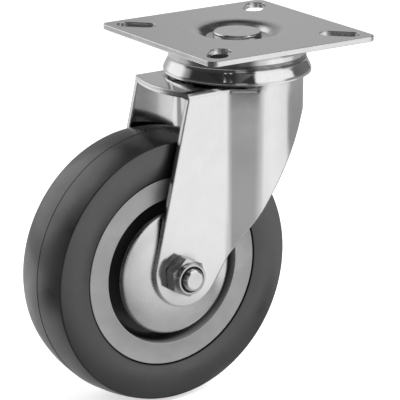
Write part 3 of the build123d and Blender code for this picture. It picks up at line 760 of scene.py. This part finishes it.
# The floor cards' "heights" are distances from the swivel axis in metres.
FLOOR_CARDS = [
    (0.03, [(-180, 0.3), (-136, 0.4), (-70, 0.35), (60, 0.35), (100, 0.15), (180, 0.15)]),
    (0.06, [(-180, 0.4), (-136, 0.7), (-66, 0.5), (-40, 0.3), (0, 0.42), (60, 0.45), (100, 0.15), (180, 0.15)]),
    (0.12, [(-180, 0.6), (-136, 0.8), (-66, 0.6), (-44, 0.06), (0, 0.25), (16, 0.5), (31, 0.6), (52, 0.5),
        (62, 0.14), (74, 0.16), (84, 0.95), (95, 0.9), (102, 0.1), (180, 0.1)]),
    (0.16, [(-180, 0.8), (-136, 0.95), (-74, 0.8), (-56, 0.06), (0, 0.1), (16, 0.5), (31, 0.66), (46, 0.72),
        (54, 0.9), (66, 0.6), (80, 0.9), (94, 0.9), (102, 0.08), (180, 0.1)]),
    (0.21, [(-180, 0.8), (-130, 1.08), (-108, 1.08), (-92, 0.8), (-80, 0.08), (-4, 0.1), (2, 0.34), (9, 0.34),
        (18, 0.58), (46, 0.66), (57, 0.92), (92, 0.9), (102, 0.05), (139, 0.05), (180, 0.1)]),
    (0.26, [(-180, 0.8), (-130, 1.08), (-108, 1.08), (-94, 0.9), (-80, 0.08), (-4, 0.1), (2, 0.37), (9, 0.37),
        (22, 0.58), (46, 0.72), (57, 0.92), (92, 0.9), (102, 0.06), (139, 0.06), (180, 0.15)]),
    (0.285, [(-180, 0.8), (-130, 1.08), (-108, 1.08), (-94, 0.9), (-80, 0.08), (-4, 0.1), (2, 0.4), (9, 0.4),
        (22, 0.6), (46, 0.85), (57, 0.93), (96, 0.9), (104, 0.36), (139, 0.3), (180, 0.3)]),
    (0.36, [(-180, 0.8), (-130, 1.08), (-108, 1.08), (-94, 0.9), (-80, 0.08), (-4, 0.1), (2, 0.4), (9, 0.4),
        (24, 0.56), (46, 0.88), (57, 0.93), (96, 0.9), (104, 0.36), (139, 0.34), (180, 0.4)]),
    (0.43, [(-180, 0.8), (-130, 1.08), (-108, 1.08), (-94, 0.9), (-80, 0.08), (-4, 0.1), (2, 0.33), (9, 0.33),
        (28, 0.54), (48, 0.88), (60, 0.93), (70, 0.9), (90, 0.84), (99, 0.3), (139, 0.3), (180, 0.4)]),
    (0.51, [(-180, 0.7), (-134, 0.9), (-114, 0.9), (-96, 0.9), (-84, 0.1), (-4, 0.06), (2, 0.52), (9, 0.52),
        (28, 0.58), (48, 0.88), (60, 0.93), (70, 0.9), (90, 0.84), (99, 0.3), (139, 0.3), (180, 0.4)]),
    (0.545, [(-180, 0.7), (-134, 0.8), (-96, 0.8), (-84, 0.2), (-66, 0.1), (-4, 0.06), (2, 0.42), (9, 0.42),
        (28, 0.6), (48, 0.88), (60, 0.93), (70, 0.9), (90, 0.84), (99, 0.32), (139, 0.32), (180, 0.4)]),
    (0.56, [(-180, 0.7), (-134, 0.8), (-94, 0.8), (-82, 0.2), (-64, 0.1), (-4, 0.05), (2, 0.16), (9, 0.16),
        (28, 0.5), (48, 0.88), (60, 0.93), (70, 0.9), (92, 0.84), (102, 0.34), (139, 0.34), (180, 0.4)]),
    (0.575, [(-180, 0.7), (-134, 0.68), (-93, 0.66), (-76, 0.15), (-60, 0.05), (18, 0.05), (38, 0.6),
        (52, 0.85), (96, 0.86), (106, 0.4), (139, 0.36), (180, 0.4)]),
    (0.68, [(-180, 0.6), (-122, 0.54), (-100, 0.4), (-80, 0.05), (18, 0.05), (40, 0.7), (58, 1.05), (74, 1.05),
        (84, 0.88), (96, 0.8), (108, 0.4), (139, 0.36), (180, 0.4)]),
    (0.9, [(-180, 0.5), (-122, 0.5), (-100, 0.3), (-80, 0.04), (-8, 0.05), (2, 0.25), (11, 0.25), (20, 0.05),
        (44, 0.8), (56, 1.0), (74, 1.0), (84, 0.35), (98, 0.25), (110, 0.3), (139, 0.3), (180, 0.36)]),
    (1.5, [(-180, 0.36), (-122, 0.5), (-100, 0.3), (-80, 0.04), (-8, 0.05), (2, 0.3), (11, 0.3), (20, 0.05),
        (44, 0.7), (70, 0.8), (82, 0.3), (98, 0.25), (110, 0.3), (139, 0.3), (180, 0.36)]),
]
CARD_REACHES = (
    0.03, 0.045, 0.06, 0.09, 0.12, 0.14, 0.16, 0.185, 0.21, 0.235, 0.26, 0.2725, 0.285, 0.32, 0.36, 0.395, 0.43,
    0.47, 0.51, 0.5275, 0.545, 0.5525, 0.56, 0.5675, 0.575, 0.61, 0.645, 0.68, 0.75, 0.82, 0.90, 1.5)


def stage_object(name, mesh, material):
    mesh.materials.append(material)
    piece = bpy.data.objects.new(name, mesh)
    bpy.context.scene.collection.objects.link(piece)
    return piece


def bare_material(name):
    """An empty material, its node tree and its output node."""
    material = bpy.data.materials.new(name)
    material.use_nodes = True
    tree = material.node_tree
    tree.nodes.clear()
    return material, tree, tree.nodes.new("ShaderNodeOutputMaterial")


def math_node(tree, how, first, second):
    """Math node on an output and either a number or another output."""
    node = tree.nodes.new("ShaderNodeMath")
    node.operation = how
    tree.links.new(first, node.inputs[0])
    if isinstance(second, float):
        node.inputs[1].default_value = second
    else:
        tree.links.new(second, node.inputs[1])
    return node.outputs[0]


def make_floor():
    """Pale floor that the camera sees as white, apart from the castor's shadow."""
    bm = bmesh.new()
    bmesh.ops.create_circle(bm, cap_ends=True, segments=96, radius=FLOOR_REACH)
    mesh = bpy.data.meshes.new("floor")
    bm.to_mesh(mesh)
    bm.free()
    material, tree, out = bare_material("floor")
    diffuse = tree.nodes.new("ShaderNodeBsdfDiffuse")
    diffuse.inputs["Color"].default_value = (FLOOR_GREY, FLOOR_GREY, FLOOR_GREY, 1)
    glow = tree.nodes.new("ShaderNodeEmission")
    rays = tree.nodes.new("ShaderNodeLightPath").outputs
    tree.links.new(math_node(tree, "MULTIPLY", rays["Is Camera Ray"], FLOOR_GLOW), glow.inputs["Strength"])
    both = tree.nodes.new("ShaderNodeAddShader")
    tree.links.new(diffuse.outputs[0], both.inputs[0])
    tree.links.new(glow.outputs[0], both.inputs[1])
    tree.links.new(both.outputs[0], out.inputs["Surface"])
    floor = stage_object("floor", mesh, material)
    floor.location = (0, 0, FLOOR_Z)


def make_world():
    """Plain pale surroundings, white to the camera. The reflected panels hide them from most reflections."""
    world = bpy.data.worlds.new("studio")
    bpy.context.scene.world = world
    world.use_nodes = True
    tree = world.node_tree
    background = tree.nodes["Background"]
    background.inputs["Color"].default_value = (1, 1, 1, 1)
    rays = tree.nodes.new("ShaderNodeLightPath").outputs
    seen = math_node(tree, "MAXIMUM", rays["Is Camera Ray"], rays["Is Glossy Ray"])
    seen = math_node(tree, "MAXIMUM", seen, rays["Is Transmission Ray"])
    level = tree.nodes.new("ShaderNodeMapRange")
    level.inputs["To Min"].default_value = WORLD_LEVEL
    level.inputs["To Max"].default_value = 1.0
    tree.links.new(seen, level.inputs["Value"])
    tree.links.new(level.outputs["Result"], background.inputs["Strength"])


def between(stops, x):
    """Smooth curve through (x, value) stops."""
    if x <= stops[0][0]:
        return stops[0][1]
    for (x0, v0), (x1, v1) in zip(stops, stops[1:]):
        if x <= x1:
            t = (x - x0) / (x1 - x0)
            return v0 + (v1 - v0) * t * t * (3 - 2 * t)
    return stops[-1][1]


def level_at(table, height, azimuth):
    return between([(row_height, between(stops, azimuth)) for row_height, stops in table], height)


def toward(azimuth, elevation=0.0):
    """Unit vector in a direction counted from the camera's side, in degrees."""
    a, e = math.radians(CAMERA_SIDE + azimuth), math.radians(elevation)
    return Vector((math.cos(a) * math.cos(e), math.sin(a) * math.cos(e), math.sin(e)))


def reflected_panel(name, table, heights, spot_at):
    """Glowing studio surface that only reflections see, spread over all azimuths and the heights."""
    bm = bmesh.new()
    azimuths = range(-180, 181, 2)
    rows = [[bm.verts.new(spot_at(azimuth, height)) for azimuth in azimuths] for height in heights]
    for a, b in zip(rows, rows[1:]):
        for k in range(len(a) - 1):
            bm.faces.new((a[k], a[k + 1], b[k + 1], b[k]))
    mesh = bpy.data.meshes.new(name)
    bm.to_mesh(mesh)
    bm.free()
    layer = mesh.attributes.new("level", "FLOAT", "POINT")
    layer.data.foreach_set("value", [level_at(table, h, azimuth) for h in heights for azimuth in azimuths])
    material, tree, out = bare_material(name)
    level = tree.nodes.new("ShaderNodeAttribute")
    level.attribute_name = "level"
    glow = tree.nodes.new("ShaderNodeEmission")
    tree.links.new(level.outputs["Fac"], glow.inputs["Strength"])
    tree.links.new(glow.outputs[0], out.inputs["Surface"])
    piece = stage_object(name, mesh, material)
    piece.visible_camera = False
    piece.visible_diffuse = False
    piece.visible_shadow = False
    piece.visible_transmission = False


def drape_spot(azimuth, elevation):
    return toward(azimuth, elevation) * STUDIO_RADIUS - Vector((0, 0, STUDIO_DROP))


def card_spot(azimuth, reach):
    return toward(azimuth) * reach + Vector((0, 0, FLOOR_Z + 0.0005))


def area_light(name, azimuth, elevation, distance, size, power):
    """Soft round lamp aimed at the castor, left out of its reflections."""
    light = bpy.data.lights.new(name, "AREA")
    light.shape = "DISK"
    light.size = size
    light.energy = power
    lamp = bpy.data.objects.new(name, light)
    bpy.context.scene.collection.objects.link(lamp)
    away = toward(azimuth, elevation)
    lamp.location = LAMP_TARGET + away * distance
    lamp.rotation_mode = "QUATERNION"
    lamp.rotation_quaternion = away.to_track_quat("Z", "Y")
    lamp.visible_glossy = False


make_floor()
make_world()
reflected_panel("drapes", DRAPES, DRAPE_HEIGHTS, drape_spot)
reflected_panel("floor_cards", FLOOR_CARDS, CARD_REACHES, card_spot)
area_light("key_right", azimuth=74, elevation=38, distance=1.2, size=0.6, power=9.5)
area_light("fill_left", azimuth=-105, elevation=30, distance=1.3, size=0.9, power=3.6)


# ---------------------------------------------------------------- camera
def make_camera():
    azimuth, elevation, roll = math.radians(-34.38), math.radians(17.26), math.radians(0.1)
    across, rise, distance = 16.91, 77.28, 1121.95      # mm, from the origin
    focal, picture_width = 2480.0, 400                  # pixels
    back = Vector((
        math.sin(azimuth) * math.cos(elevation),
        -math.cos(azimuth) * math.cos(elevation),
        math.sin(elevation),
    ))
    right = Vector((math.cos(azimuth), math.sin(azimuth), 0))
    up = back.cross(right)
    side = right * math.cos(roll) + up * math.sin(roll)
    head = -right * math.sin(roll) + up * math.cos(roll)
    data = bpy.data.cameras.new("camera")
    camera = bpy.data.objects.new("camera", data)
    bpy.context.scene.collection.objects.link(camera)
    stand = Matrix((side, head, back)).transposed().to_4x4()
    stand.translation = (distance * back - across * side - rise * head) * MM
    camera.matrix_world = stand
    data.sensor_width = 36.0
    data.lens = focal / picture_width * data.sensor_width
    data.clip_start = 0.01
    bpy.context.scene.camera = camera


make_camera()
bpy.context.scene.view_settings.view_transform = "Standard"
